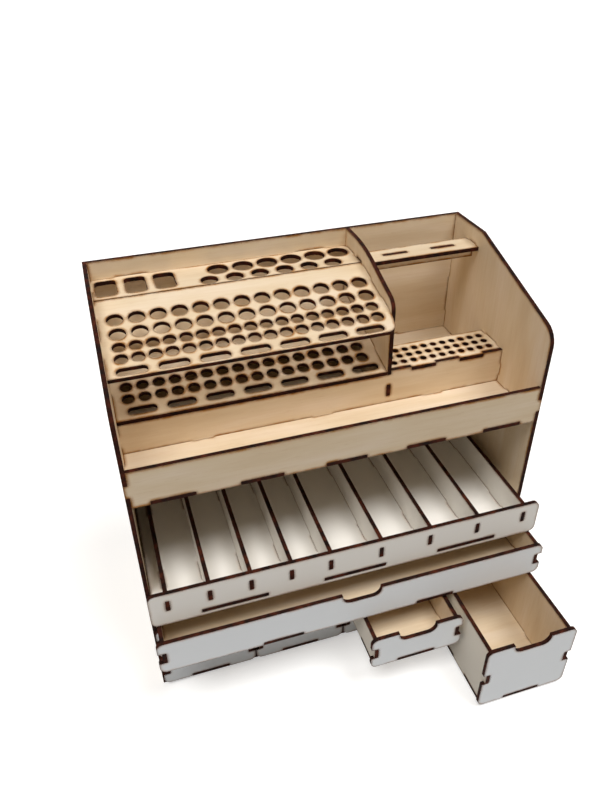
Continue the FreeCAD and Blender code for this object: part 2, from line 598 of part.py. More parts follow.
def top_shelf():
    """Level shelf at the back of the rack, with sockets and two staggered rows of holes."""
    end = RACK_DIVIDER_LEFT
    tab = [TOP_SHELF_TAB]
    outline = [(INNER_LEFT, TOP_SHELF_FRONT)]
    outline += edge((end, TOP_SHELF_FRONT), (end, INNER_BACK), tab, SHELF_TAB_LENGTH, SHEET)
    outline += edge((end, INNER_BACK), (INNER_LEFT, INNER_BACK), TOP_BACK_TABS, BACK_TAB_LENGTH, SHEET)
    outline += edge((INNER_LEFT, INNER_BACK), (INNER_LEFT, TOP_SHELF_FRONT), tab, SHELF_TAB_LENGTH, SHEET)
    back_row = INNER_BACK - TOP_HOLE_BACK_INSET
    openings = []
    for number in range(SOCKET_COUNT):
        x = INNER_LEFT + FIRST_SOCKET_INSET + SOCKET_PITCH * number
        socket = rounded_slot(x, TOP_SHELF_MIDDLE, SOCKET_WIDTH, SOCKET_DEPTH, SOCKET_CORNER_RADIUS)
        openings.append(socket)
    sockets_end = x + SOCKET_WIDTH / 2
    front_hole_limit = sockets_end + SHEET + TOP_FRONT_HOLE_RADIUS
    for x in steps(TOP_HOLE_PITCH / 2, end - TOP_HOLE_END_INSET - front_hole_limit, TOP_HOLE_PITCH):
        front_hole = end - TOP_HOLE_END_INSET - x
        openings.append(round_hole(front_hole, back_row - TOP_ROW_PITCH, TOP_FRONT_HOLE_RADIUS))
        openings.append(round_hole(front_hole + TOP_HOLE_PITCH / 2, back_row, TOP_HOLE_RADIUS))
    return lay(board(outline, openings), TOP_SHELF_LEVEL)


def bit_plate():
    """Level plate of small bit holes beside the rack divider, fingered into the riser."""
    start = RACK_DIVIDER_LEFT + SHEET
    front = RISER_FRONT + SHEET
    back = front + BIT_PLATE_DEPTH
    tab = [BIT_PLATE_TAB]
    outline = edge((start, front), (INNER_RIGHT, front), FRONT_TABS, FRONT_TAB_LENGTH, SHEET)
    outline += edge((INNER_RIGHT, front), (INNER_RIGHT, back), tab, SHELF_TAB_LENGTH, SHEET)
    outline += [(INNER_RIGHT, back)]
    outline += edge((start, back), (start, front), tab, SHELF_TAB_LENGTH, SHEET)
    openings = []
    for row in range(BIT_ROW_COUNT):
        y = front + BIT_HOLE_INSET + BIT_HOLE_PITCH * row
        places = steps(start + BIT_HOLE_INSET, INNER_RIGHT - BIT_HOLE_INSET, BIT_HOLE_PITCH)
        openings += [round_hole(x, y, BIT_HOLE_RADIUS) for x in places]
    return lay(board(outline, openings), BIT_PLATE_LEVEL)


def pliers_bar():
    """Level bar across the right bay that pliers straddle."""
    start = RACK_DIVIDER_LEFT + SHEET
    back = PLIERS_BAR_FRONT + PLIERS_BAR_DEPTH
    tab = [PLIERS_BAR_CENTRE]
    outline = [(start, PLIERS_BAR_FRONT)]
    outline += edge((INNER_RIGHT, PLIERS_BAR_FRONT), (INNER_RIGHT, back), tab, PLIERS_BAR_TAB_LENGTH, SHEET)
    outline += [(INNER_RIGHT, back)]
    outline += edge((start, back), (start, PLIERS_BAR_FRONT), tab, PLIERS_BAR_TAB_LENGTH, SHEET)
    openings = [slot_for(x, PLIERS_BAR_CENTRE, FRONT_TAB_LENGTH) for x in FRONT_TABS]
    return lay(board(outline, openings), PLIERS_BAR_LEVEL)


def pliers_bar_stiffener():
    """Rib under the pliers bar, with two tabs up through it."""
    start = RACK_DIVIDER_LEFT + SHEET
    bottom = PLIERS_BAR_LEVEL - STIFFENER_HEIGHT
    outline = [(start, bottom), (INNER_RIGHT, bottom)]
    outline += edge(
        (INNER_RIGHT, PLIERS_BAR_LEVEL), (start, PLIERS_BAR_LEVEL), FRONT_TABS, FRONT_TAB_LENGTH, SHEET
    )
    outline += [(start, PLIERS_BAR_LEVEL)]
    return face_front(board(outline), PLIERS_BAR_CENTRE - SHEET / 2)


# Drawers

def drawer(name, centre, front_width, bottom, front_height, wall_height, inset, floor_tabs, opened):
    """Boards of one drawer: front with a finger notch, floor, back and two walls.

    The front's side notches take the walls' tabs and its bottom notches take the
    floor's. The walls stand on the floor with two fingers each, and the back stands
    on the floor between them.
    """
    face = FRONT - RUNNING_GAP - SHEET - opened
    end = face + DRAWER_DEPTH
    box_half = front_width / 2 - inset
    floor_top = bottom + SHEET
    wall_top = bottom + wall_height
    tab_middle = bottom + front_height / 2
    left_edge = centre - front_width / 2
    right_edge = centre + front_width / 2
    tab_spans = [centre + shift for shift in floor_tabs]
    radius = FRONT_CORNER_RADIUS
    side_notch = inset + SHEET
    front_top = bottom + front_height

    tabs = [tab_middle]
    right_side = notches((right_edge, bottom), (right_edge, front_top), tabs, WALL_TAB_LENGTH, side_notch)
    left_side = notches((left_edge, front_top), (left_edge, bottom), tabs, WALL_TAB_LENGTH, side_notch)
    outline = [(left_edge, bottom, radius)]
    outline += notches((left_edge, bottom), (right_edge, bottom), tab_spans, FLOOR_TAB_LENGTH)[1:]
    outline += [(right_edge, bottom, radius)]
    outline += right_side[1:]
    outline += [(right_edge, front_top, radius), (centre + GRIP_WIDTH / 2, front_top)]
    outline += [(centre + GRIP_WIDTH / 2, front_top - GRIP_DEPTH, GRIP_RADIUS)]
    outline += [(centre - GRIP_WIDTH / 2, front_top - GRIP_DEPTH, GRIP_RADIUS)]
    outline += [(centre - GRIP_WIDTH / 2, front_top), (left_edge, front_top, radius)]
    outline += left_side[1:]
    front_board = face_front(board(outline), face)

    inner_face = face + SHEET
    foot_tabs = [inner_face + SHELF_TAB_INSET, end - SHELF_TAB_INSET]
    left = centre - box_half
    right = centre + box_half
    outline = edge((left, inner_face), (right, inner_face), tab_spans, FLOOR_TAB_LENGTH, SHEET)
    outline += notches((right, inner_face), (right, end), foot_tabs, FOOT_TAB_LENGTH)
    outline += notches((right, end), (left, end), [centre], FLOOR_TAB_LENGTH)
    outline += notches((left, end), (left, inner_face), foot_tabs, FOOT_TAB_LENGTH)
    floor_board = lay(board(outline), bottom)

    back_front = end - SHEET
    outline = edge((inner_face, floor_top), (end, floor_top), foot_tabs, FOOT_TAB_LENGTH, SHEET)
    outline += notches((end, floor_top), (end, wall_top), [tab_middle], WALL_TAB_LENGTH)
    outline += [(end, wall_top)]
    outline += edge((inner_face, wall_top), (inner_face, floor_top), [tab_middle], WALL_TAB_LENGTH, SHEET)
    walls = [face_side(board(outline), x) for x in (left, right - SHEET)]

    inner_left = left + SHEET
    inner_right = right - SHEET
    outline = edge((inner_left, floor_top), (inner_right, floor_top), [centre], FLOOR_TAB_LENGTH, SHEET)
    outline += edge((inner_right, floor_top), (inner_right, wall_top), [tab_middle], WALL_TAB_LENGTH, SHEET)
    outline += [(inner_right, wall_top)]
    outline += edge((inner_left, wall_top), (inner_left, floor_top), [tab_middle], WALL_TAB_LENGTH, SHEET)
    back_board = face_front(board(outline), back_front)

    return {name + "_front": front_board, name + "_floor": floor_board, name + "_back": back_board}, walls


def small_drawer(name, column, underside, bay_height, opened):
    """Drawer of one column; its two walls are one sub-part."""
    centre = LEFT + FRONT_MARGIN + SMALL_FRONT_WIDTH / 2 + COLUMN_PITCH * column
    bottom = underside + RUNNING_GAP
    front_height = bay_height + SHEET - ROW_GAP
    wall_height = bay_height - RUNNING_GAP - WALL_HEADROOM
    boards, walls = drawer(
        name, centre, SMALL_FRONT_WIDTH, bottom, front_height, wall_height, WALL_INSET, [0.0], opened
    )
    boards[name + "_sides"] = Part.makeCompound(walls)
    return boards


def wide_drawer():
    """Full-width drawer under the bottle tray."""
    bottom = MIDDLE_LEVEL + SHEET + RUNNING_GAP
    tray_front_bottom = TRAY_LEVEL + SHEET + RUNNING_GAP - TRAY_FRONT_DROP
    front_height = tray_front_bottom - ROW_GAP - bottom
    wall_height = WIDE_BAY_HEIGHT - RUNNING_GAP - WALL_HEADROOM
    half_spread = WIDE_FLOOR_TAB_SPREAD / 2
    width = WIDTH - 2 * WIDE_FRONT_MARGIN
    boards, walls = drawer(
        "wide_drawer", 0.0, width, bottom, front_height, wall_height, WIDE_WALL_INSET,
        [-half_spread, half_spread], WIDE_OPEN
    )
    boards["wide_drawer_left_wall"] = walls[0]
    boards["wide_drawer_right_wall"] = walls[1]
    return boards


# Bottle tray

def tray_wall_places():
    """Middles of the tray's walls: narrow cells on the left, wide ones on the right."""
    first = LEFT + TRAY_WALL_INSET + SHEET / 2
    last = RIGHT - TRAY_WALL_INSET - SHEET / 2
    places = [first + NARROW_CELL_PITCH * n for n in range(NARROW_CELL_COUNT + 1)]
    wide_pitch = (last - places[-1]) / WIDE_CELL_COUNT
    return places + [places[-1] + wide_pitch * (n + 1) for n in range(WIDE_CELL_COUNT)]


def bottle_tray():
    """Open tray for bottles: white-faced front, floor, back and nine upright walls."""
    face = FRONT - RUNNING_GAP - SHEET - TRAY_OPEN
    inner_face = face + SHEET
    end = face + DRAWER_DEPTH
    floor_bottom = TRAY_LEVEL + SHEET + RUNNING_GAP
    floor_top = floor_bottom + SHEET
    front_bottom = floor_bottom - TRAY_FRONT_DROP
    top = front_bottom + TRAY_FRONT_HEIGHT
    places = tray_wall_places()
    half_front = WIDTH / 2 - WIDE_FRONT_MARGIN
    half_floor = half_front - WIDE_WALL_INSET
    radius = FRONT_CORNER_RADIUS
    wall_tab = top - TRAY_TAB_DROP - TRAY_TAB_LENGTH / 2
    foot_tabs = [inner_face + SHELF_TAB_INSET, end - SHELF_TAB_INSET]
    floor_tabs = [-TRAY_FLOOR_TAB_PITCH, 0.0, TRAY_FLOOR_TAB_PITCH]
    wall_slots = [slot_for(x, wall_tab, SHEET, TRAY_TAB_LENGTH) for x in places]

    outline = [(-half_front, front_bottom, radius), (half_front, front_bottom, radius)]
    outline += [(half_front, top, radius), (-half_front, top, radius)]
    long_slots = [slot_for(x, floor_bottom + SHEET / 2, TRAY_FLOOR_TAB_LENGTH) for x in floor_tabs]
    boards = {"bottle_tray_front": face_front(board(outline, wall_slots + long_slots), face)}

    front_right = (half_floor, inner_face)
    outline = edge((-half_floor, inner_face), front_right, floor_tabs, TRAY_FLOOR_TAB_LENGTH, SHEET)
    outline += [front_right, (half_floor, end)]
    back_tabs = [(places[0] + places[1]) / 2, (places[-1] + places[-2]) / 2]
    outline += notches((half_floor, end), (-half_floor, end), back_tabs, SHELF_TAB_LENGTH)
    outline += [(-half_floor, end)]
    foot_slots = [slot_for(x, y, SHEET, FOOT_TAB_LENGTH) for x in places for y in foot_tabs]
    boards["bottle_tray_floor"] = lay(board(outline, foot_slots), floor_bottom)

    outline = edge((-half_floor, floor_top), (half_floor, floor_top), back_tabs, SHELF_TAB_LENGTH, SHEET)
    outline += [(half_floor, floor_top), (half_floor, top), (-half_floor, top)]
    boards["bottle_tray_back"] = face_front(board(outline, wall_slots), end - SHEET)

    back_front = end - SHEET
    outline = edge((inner_face, floor_top), (back_front, floor_top), foot_tabs, FOOT_TAB_LENGTH, SHEET)
    outline += edge((back_front, floor_top), (back_front, top), [wall_tab], TRAY_TAB_LENGTH, SHEET)
    outline += [(back_front, top)]
    outline += edge((inner_face, top), (inner_face, floor_top), [wall_tab], TRAY_TAB_LENGTH, SHEET)
    walls = [face_side(board(outline), x - SHEET / 2) for x in places]
    boards["bottle_tray_outer_walls"] = Part.makeCompound([walls[0], walls[-1]])
    boards["bottle_tray_dividers"] = Part.makeCompound(walls[1:-1])
    return boards


def all_parts():
    """Every sub-part of the organizer by name."""
    parts = {
        "left_side_panel": left_side_panel(),
        "right_side_panel": right_side_panel(),
        "back_panel": back_panel(),
        "base_panel": base_panel(),
        "row_panel": row_panel(),
        "middle_panel": middle_panel(),
        "tray_panel": tray_panel(),
        "deck_panel": deck_panel(),
        "front_rail": front_rail(),
        "riser_panel": riser_panel(),
        "rack_divider": rack_divider(),
        "lower_rack_shelf": lower_rack_shelf(),
        "upper_rack_shelf": upper_rack_shelf(),
        "top_shelf": top_shelf(),
        "bit_plate": bit_plate(),
        "pliers_bar": pliers_bar(),
        "pliers_bar_stiffener": pliers_bar_stiffener(),
    }
    for number in range(len(COLUMN_DIVIDERS)):
        parts["column_divider_" + str(number + 1)] = column_divider(number)
    parts.update(bottle_tray())
    parts.update(wide_drawer())
    for column in range(len(COLUMN_DIVIDERS)):
        lower_name = "lower_drawer_" + str(column + 1)
        upper_name = "upper_drawer_" + str(column + 1)
        is_last = column == len(COLUMN_DIVIDERS) - 1
        opened = SHORT_OPEN if is_last else 0.0
        parts.update(small_drawer(lower_name, column, SHEET, SMALL_BAY_HEIGHT, 0.0))
        parts.update(small_drawer(upper_name, column, ROW_LEVEL + SHEET, SMALL_BAY_HEIGHT, opened))
    tall_bay_height = MIDDLE_LEVEL - SHEET
    tall_column = len(COLUMN_DIVIDERS)
    parts.update(small_drawer("tall_drawer", tall_column, SHEET, tall_bay_height, TALL_OPEN))
    return parts


os.makedirs("parts", exist_ok=True)
for part_name, shape in all_parts().items():
    shape.exportStep("parts/" + part_name + ".step")
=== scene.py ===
import math

import bmesh
import bpy
import numpy as np
from mathutils import Matrix, Quaternion, Vector


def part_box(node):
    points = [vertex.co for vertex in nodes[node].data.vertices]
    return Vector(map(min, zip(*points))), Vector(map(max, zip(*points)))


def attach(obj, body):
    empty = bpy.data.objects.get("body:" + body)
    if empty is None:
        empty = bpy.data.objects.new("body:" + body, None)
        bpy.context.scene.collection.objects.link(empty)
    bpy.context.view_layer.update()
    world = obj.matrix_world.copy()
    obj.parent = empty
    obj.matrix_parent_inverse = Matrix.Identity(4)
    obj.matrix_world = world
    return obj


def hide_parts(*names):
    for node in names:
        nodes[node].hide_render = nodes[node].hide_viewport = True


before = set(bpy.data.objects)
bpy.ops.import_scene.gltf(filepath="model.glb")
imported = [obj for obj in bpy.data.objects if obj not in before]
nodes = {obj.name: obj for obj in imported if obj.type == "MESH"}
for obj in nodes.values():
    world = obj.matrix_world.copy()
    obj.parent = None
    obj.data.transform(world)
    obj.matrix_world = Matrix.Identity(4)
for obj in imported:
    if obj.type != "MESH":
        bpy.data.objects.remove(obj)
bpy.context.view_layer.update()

# ---------------------------------------------------------------- Carcass boards
# Laser-cut 3 mm birch plywood, glued up from finger joints and tabs in slots.
# The faces are pale rotary-cut veneer. Every cut is charred red-brown, and its heat
# has browned the veneer beside it and left amber stains here and there.


def linear(hex_colour):
    """Linear RGBA of an sRGB hex colour: ((c + 0.055) / 1.055) ** 2.4, or c / 12.92 near black."""
    code = np.array([int(hex_colour[i : i + 2], 16) for i in (1, 3, 5)]) / 255
    return (*np.where(code > 0.04045, ((code + 0.055) / 1.055) ** 2.4, code / 12.92), 1.0)


def add(tree, kind, settings=None, links=None):
    """Adds one node, sets its properties and inputs, and feeds inputs from nodes or sockets."""
    node = tree.nodes.new("ShaderNode" + kind)
    for key, value in (settings or {}).items():
        if isinstance(key, str) and hasattr(node, key):
            setattr(node, key, value)
        else:
            node.inputs[key].default_value = value
    for key, source in (links or {}).items():
        if isinstance(source, bpy.types.Node):
            source = next(socket for socket in source.outputs if socket.enabled)
        tree.links.new(source, node.inputs[key])
    return node


# The three directions of a sheet: along its grain, across the grain, and through it.
LEVEL_BOARD = ((1, 0, 0), (0, 1, 0), (0, 0, 1))
UPRIGHT_BOARD = ((1, 0, 0), (0, 0, 1), (0, 1, 0))
SIDE_BOARD = ((0, 0, 1), (0, 1, 0), (1, 0, 0))


def veins(tree, place, directions, sizes, seed):
    """Noise drawn out to sizes in millimetres along the grain, across it and through the sheet."""
    stretch = 1000 * (np.array(directions) / np.array(sizes)[:, None]).sum(0)
    drawn = add(tree, "Mapping", {"Scale": tuple(stretch)}, {"Vector": place})
    look = {"noise_dimensions": "4D", "W": seed, "Scale": 1.0, "Detail": 4.0, "Roughness": 0.55}
    return add(tree, "TexNoise", look, {"Vector": drawn})


def birch_veneer(tree, place, directions):
    """Pale birch veneer: warm figure 90 by 16 mm, streaks 1.6 mm wide, and pores 0.9 mm wide.

    Real pores are 0.1 mm wide, too fine to show, so they are drawn wider and fainter.
    """
    figure = add(tree, "ValToRGB", links={"Fac": veins(tree, place, directions, (90, 16, 9), 3.1)})
    shades = figure.color_ramp.elements
    shades[0].position, shades[0].color = 0.32, linear("#ebd9c1")
    shades[1].position, shades[1].color = 0.70, linear("#dbc4a3")
    shades.new(0.52).color = linear("#e4d0b2")
    streaks = add(tree, "MapRange", {"From Min": 0.42, "From Max": 0.75, "To Max": 0.22},
                  {"Value": veins(tree, place, directions, (38, 1.6, 9), 11.7)})
    streaked = add(tree, "Mix", {"data_type": "RGBA", 7: linear("#d3b388")},
                   {6: figure, 0: streaks})
    pores = add(tree, "MapRange", {"From Min": 0.60, "From Max": 0.80, "To Max": 0.30},
                {"Value": veins(tree, place, directions, (8, 0.9, 9), 23.9)})
    pored = add(tree, "Mix", {"data_type": "RGBA", 7: linear("#b9935f")}, {6: streaked, 0: pores})
    # Pieces are cut from different sheets, so each is a little lighter or darker.
    which = add(tree, "ObjectInfo").outputs["Random"]
    sheet = add(tree, "MapRange", {"To Min": 0.95, "To Max": 1.04}, {"Value": which})
    return add(tree, "VectorMath", {"operation": "SCALE"}, {0: pored, "Scale": sheet})


# In metres: how far a cut's heat reaches, and how far apart the columns of drawers are.
SCORCH_WIDTH = 0.0045
COLUMN_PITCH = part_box("column_divider_2")[0].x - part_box("column_divider_1")[0].x


def plywood(name, directions, lean=0.0, papered=None, paper_shades=("#ecebe8", "#f3f2f0")):
    """Birch plywood: a veneer face, a charred cut, and the browning of the face beside the cut.

    A face is where the normal lies along the sheet's thickness, and a cut is where it
    lies across it. The browning follows the distance to the nearest cut: near an edge
    the bevelled normal leans away from the true one, by 45 degrees at the edge itself.
    papered says where white paper covers the veneer: on "both" sides, at the "front",
    or on the outer sides of the drawers in the "columns" or of the "wide" drawer.
    """
    material = bpy.data.materials.new(name)
    material.use_nodes = True
    tree = material.node_tree
    tree.nodes.clear()
    coordinates = add(tree, "TexCoord").outputs["Object"]
    place = add(tree, "Mapping", {"vector_type": "TEXTURE", "Rotation": (lean, 0, 0)},
                {"Vector": coordinates})
    normal = add(tree, "NewGeometry").outputs["True Normal"]
    surface = birch_veneer(tree, place, directions)

    if papered:
        grey, white = [linear(shade) for shade in paper_shades]
        paper = add(tree, "Mix", {"data_type": "RGBA", 6: grey, 7: white},
                    {0: veins(tree, place, directions, (70, 50, 30), 5.2)})
    if papered == "both":
        surface = paper
    elif papered == "front":
        forward = add(tree, "VectorMath", {"operation": "DOT_PRODUCT", 1: (0, -1, 0)}, {0: normal})
        faced = add(tree, "Math", {"operation": "GREATER_THAN", 1: 0.5}, {0: forward})
    elif papered:
        # A wall's outer side faces away from the middle of its drawer. The first of the
        # four columns starts two pitches left of the middle of the object.
        sideways = add(tree, "SeparateXYZ", links={0: place})
        if papered == "columns":
            column = add(tree, "Math", {"operation": "MULTIPLY_ADD", 1: 1 / COLUMN_PITCH, 2: 2.0},
                         {0: sideways})
            share = add(tree, "Math", {"operation": "FRACT"}, {0: column})
            sideways = add(tree, "Math", {"operation": "SUBTRACT", 1: 0.5}, {0: share})
        outward = add(tree, "Math", {"operation": "MULTIPLY"},
                      {0: sideways, 1: add(tree, "SeparateXYZ", links={0: normal})})
        faced = add(tree, "Math", {"operation": "GREATER_THAN", 1: 0.0}, {0: outward})
    one_side = papered and papered != "both"
    if one_side:
        surface = add(tree, "Mix", {"data_type": "RGBA"}, {0: faced, 6: surface, 7: paper})

    bevelled = add(tree, "Bevel", {"samples": 8, "Radius": SCORCH_WIDTH})
    agreement = add(tree, "VectorMath", {"operation": "DOT_PRODUCT"}, {0: bevelled, 1: normal})
    nearness = add(tree, "MapRange", {"From Min": 0.998, "From Max": 0.94}, {"Value": agreement})
    most = 0.4 if papered == "both" else 1.0
    patches = add(tree, "MapRange", {"From Min": 0.34, "From Max": 0.62, "To Max": most},
                  {"Value": veins(tree, place, directions, (14, 14, 14), 41.0)})
    if one_side:
        # Paper takes the heat better than bare veneer does, here too.
        spared = add(tree, "Math", {"operation": "MULTIPLY_ADD", 1: -0.6, 2: 1.0}, {0: faced})
        patches = add(tree, "Math", {"operation": "MULTIPLY"}, {0: patches, 1: spared})
    stain = add(tree, "Math", {"operation": "MULTIPLY"}, {0: nearness, 1: patches})
    stained = add(tree, "Mix", {"data_type": "RGBA", 7: linear("#b07a3a")}, {0: stain, 6: surface})
    line_start = 0.84 if papered else 0.90
    line = add(tree, "MapRange", {"From Min": line_start, "From Max": 0.76, "To Max": 0.85},
               {"Value": agreement})
    edged = add(tree, "Mix", {"data_type": "RGBA", 7: linear("#4f2812")}, {0: line, 6: stained})

    # The char is glossless and red-brown, paler in patches where less of it has burnt.
    burn = add(tree, "ValToRGB", links={"Fac": veins(tree, place, directions, (6, 6, 6), 9.0)})
    shades = burn.color_ramp.elements
    shades[0].position, shades[0].color = 0.38, linear("#150906")
    shades[1].position, shades[1].color = 0.66, linear("#4d2112")
    shades.new(0.54).color = linear("#33150b")
    thickness = Matrix.Rotation(lean, 3, "X") @ Vector(directions[2])
    facing = add(tree, "VectorMath", {"operation": "DOT_PRODUCT", 1: thickness}, {0: normal})
    cut = add(tree, "Math", {"operation": "LESS_THAN", 1: 0.5},
              {0: add(tree, "Math", {"operation": "ABSOLUTE"}, {0: facing})})
    colour = add(tree, "Mix", {"data_type": "RGBA"}, {0: cut, 6: edged, 7: burn})
    sheen = 0.50 if papered == "both" else 0.62
    dullness = add(tree, "MapRange", {"To Min": sheen, "To Max": 0.85}, {"Value": cut})
    grit = add(tree, "Bump", {"Strength": 0.30, "Distance": 0.0001},
               {"Height": veins(tree, place, directions, (38, 1.6, 2), 11.7)})
    shader = add(tree, "BsdfPrincipled", {"IOR": 1.5, "Specular IOR Level": 0.12},
                 {"Base Color": colour, "Roughness": dullness, "Normal": grit})
    add(tree, "OutputMaterial", links={"Surface": shader})
    return material


def cover(material, *names):
    """Gives CAD boards a finish through their objects' own material slots."""
    for name in names:
        board = nodes[name]
        if not board.material_slots:
            board.data.materials.append(None)
        for place in board.material_slots:
            place.link = "OBJECT"
            place.material = material


level_birch = plywood("birch_plywood_level", LEVEL_BOARD)
across_birch = plywood("birch_plywood_upright", UPRIGHT_BOARD)
side_birch = plywood("birch_plywood_side", SIDE_BOARD)
cover(level_birch, "base_panel", "row_panel", "middle_panel", "tray_panel", "deck_panel")
cover(across_birch, "back_panel", "front_rail")
cover(side_birch, "left_side_panel", "right_side_panel")
cover(side_birch, "column_divider_1", "column_divider_2", "column_divider_3")

# ---------------------------------------------------------------- Tool rack
# Two leaning shelves of slots and holes, a level shelf behind them, a plate for bits,
# a bar for pliers, the riser and the divider: birch plywood, tabbed into each other.
# The pierced boards are cut again here, because the frame's round holes have eight sides.

# The places and sizes of the cut boards are in millimetres.
SHEET = 3.0
FIT = 0.1


def corners_of(node):
    """Lowest and highest corner of a CAD board, without the rounding noise of its mesh."""
    return [np.round(1000 * np.array(corner), 4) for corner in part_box(node)]


def opening(middle_u, middle_v, half_u, half_v, radius, count=48):
    """Outline of a round hole, a long slot or a socket.

    A point at angle t is the corner centre on its side plus a radius that way:
    u = sign(cos t) (half_u - radius) + radius cos t, and the same in v with sin t.
    """
    turn = (np.arange(count) + 0.5) * 2 * np.pi / count
    u = np.sign(np.cos(turn)) * (half_u - radius) + radius * np.cos(turn)
    v = np.sign(np.sin(turn)) * (half_v - radius) + radius * np.sin(turn)
    return np.column_stack([middle_u + u, middle_v + v])


def holes(first, last, pitch, rows, radius):
    """Rows of round holes, one pitch apart, from the first place as far as the last."""
    places = np.arange(first, last + 0.001, pitch)
    return [opening(u, v, radius, radius, radius) for v in rows for u in places]


def rounded(corners, steps=10):
    """Outline through corners (u, v, radius), each turned into an arc of its radius.

    Unit ways t and a lead from a corner to its neighbours, 2h apart. The arc's centre is
    radius / sin h along t + a, it touches the edges radius / tan h away, and its points
    turn evenly from one touching point to the other: (sin((1-s)w) A + sin(s w) B) / sin w.
    """
    corners = np.array([(*corner, 0.0)[:3] for corner in corners])
    spots, radius = corners[:, :2], corners[:, 2:]
    towards, away = np.roll(spots, 1, 0) - spots, np.roll(spots, -1, 0) - spots
    towards /= np.linalg.norm(towards, axis=1, keepdims=True)
    away /= np.linalg.norm(away, axis=1, keepdims=True)
    half = np.arccos(np.clip((towards * away).sum(1, keepdims=True), -1, 1)) / 2
    bisector = towards + away
    bisector /= np.maximum(np.linalg.norm(bisector, axis=1, keepdims=True), 1e-9)
    centre = spots + bisector * radius / np.sin(half)
    start, end = [spots + way * radius / np.tan(half) - centre for way in (towards, away)]
    swing = (np.pi - 2 * half)[:, None]
    share = np.linspace(0, 1, steps)[None, :, None]
    arcs = np.sin((1 - share) * swing) * start[:, None] + np.sin(share * swing) * end[:, None]
    arcs = centre[:, None] + arcs / np.maximum(np.sin(swing), 1e-9)
    plain = radius[:, 0] == 0
    arcs[plain] = spots[plain][:, None]
    kept = np.ones(arcs.shape[:2], bool)
    kept[plain, 1:] = False
    return arcs[kept]


def spans(middles, length):
    """Start and end of each tab or slot of a length, given by its middle."""
    return [(middle - length / 2, middle + length / 2) for middle in middles]


def tabbed(u, tabs, way):
    """Corners of a board's end at u, with a tab one sheet long over each span of v.

    way is 1 for the right end, which runs up, and -1 for the left end, which runs down.
    """
    out = u + way * SHEET
    corners = []
    for low, high in tabs:
        corners += [(u, low), (out, low), (out, high), (u, high)]
    return corners[::way]


def cut_board(name, loops, place):
    """A sheet cut along flat loops, the outline first, with its middle plane laid at a place."""
    curve = bpy.data.curves.new(name, "CURVE")
    curve.dimensions = "2D"
    curve.fill_mode = "BOTH"
    curve.extrude = SHEET / 2
    for loop in loops:
        spline = curve.splines.new("POLY")
        spline.points.add(len(loop) - 1)
        flat = np.column_stack([loop, np.zeros(len(loop)), np.ones(len(loop))])
        spline.points.foreach_set("co", flat.ravel())
        spline.use_cyclic_u = True
    drawing = bpy.data.objects.new(name + "_drawing", curve)
    bpy.context.scene.collection.objects.link(drawing)
    bpy.context.view_layer.update()
    mesh = bpy.data.meshes.new_from_object(drawing)
    bpy.data.objects.remove(drawing)
    work = bmesh.new()
    work.from_mesh(mesh)
    bmesh.ops.remove_doubles(work, verts=work.verts, dist=0.001)
    bmesh.ops.recalc_face_normals(work, faces=work.faces)
    work.to_mesh(mesh)
    work.free()
    mesh.transform(Matrix.Scale(0.001, 4) @ place)
    mesh.shade_smooth()
    mesh.set_sharp_from_angle(angle=math.radians(30))
    board = bpy.data.objects.new(name, mesh)
    bpy.context.scene.collection.objects.link(board)
    return board


def stand_in(board, node, body, material):
    """The cut board stands for its CAD node on a body, in one of the record's finishes."""
    board.data.materials.append(material)
    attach(board, body)
    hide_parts(node)


def laid(front, front_top, lean=0.0):
    """Place of a board whose top face has its front edge at a y and a height, leaning back."""
    drop = Matrix.Translation((0, 0, -SHEET / 2))
    return Matrix.Translation((0, front, front_top)) @ Matrix.Rotation(lean, 4, "X") @ drop


bay_left = corners_of("left_side_panel")[1][0]
bay_right = corners_of("rack_divider")[0][0]
riser_low, riser_high = corners_of("riser_panel")
riser_face, riser_top = riser_low[1], riser_high[2]
inner_back = corners_of("back_panel")[0][1]
TAB_LENGTH = 16.0
BACK_TAB_INSET = 12.0

# The leaning shelves have a row of long slots at the front, two rows of small holes
# behind it and, on the upper one, two rows of large holes. No hole comes nearer to the
# divider than half a sheet.
LEAN = math.radians(13)
SLOT_COUNT, SLOT_HALF_LENGTH, SLOT_RADIUS = 7, 10.1, 3.3
SMALL_RADIUS, LARGE_RADIUS = 4.4, 5.6
SMALL_INSET, LARGE_INSET = 10.8, 11.7
lean_shift = SHEET * math.sin(LEAN)
leaning_birch = plywood("birch_plywood_leaning", LEVEL_BOARD, lean=LEAN)


def shelf_slots(inset, pitch, row):
    """A leaning shelf's row of long slots, the first one's middle an inset from its left end."""
    middles = bay_left + inset + pitch * np.arange(SLOT_COUNT)
    return [opening(u, row, SLOT_HALF_LENGTH, SLOT_RADIUS, SLOT_RADIUS) for u in middles]


def shelf_holes(inset, pitch, first_row, radius):
    """Two rows of round holes across a leaning shelf, on a square grid."""
    last = bay_right - SHEET / 2 - radius
    return holes(bay_left + inset, last, pitch, (first_row, first_row + pitch), radius)


def leaning_shelf(name, front_corners, front_tab, depth, openings, place):
    """A leaning shelf with its front corners, two tabs at each end and its openings."""
    tabs = spans((front_tab, depth - BACK_TAB_INSET), TAB_LENGTH)
    outline = [(bay_left, 0)] + front_corners + tabbed(bay_right, tabs, 1)
    outline += [(bay_right, depth), (bay_left, depth)] + tabbed(bay_left, tabs, -1)
    board = cut_board(name + "_board", [rounded(outline)] + openings, place)
    stand_in(board, name, "carcass", leaning_birch)


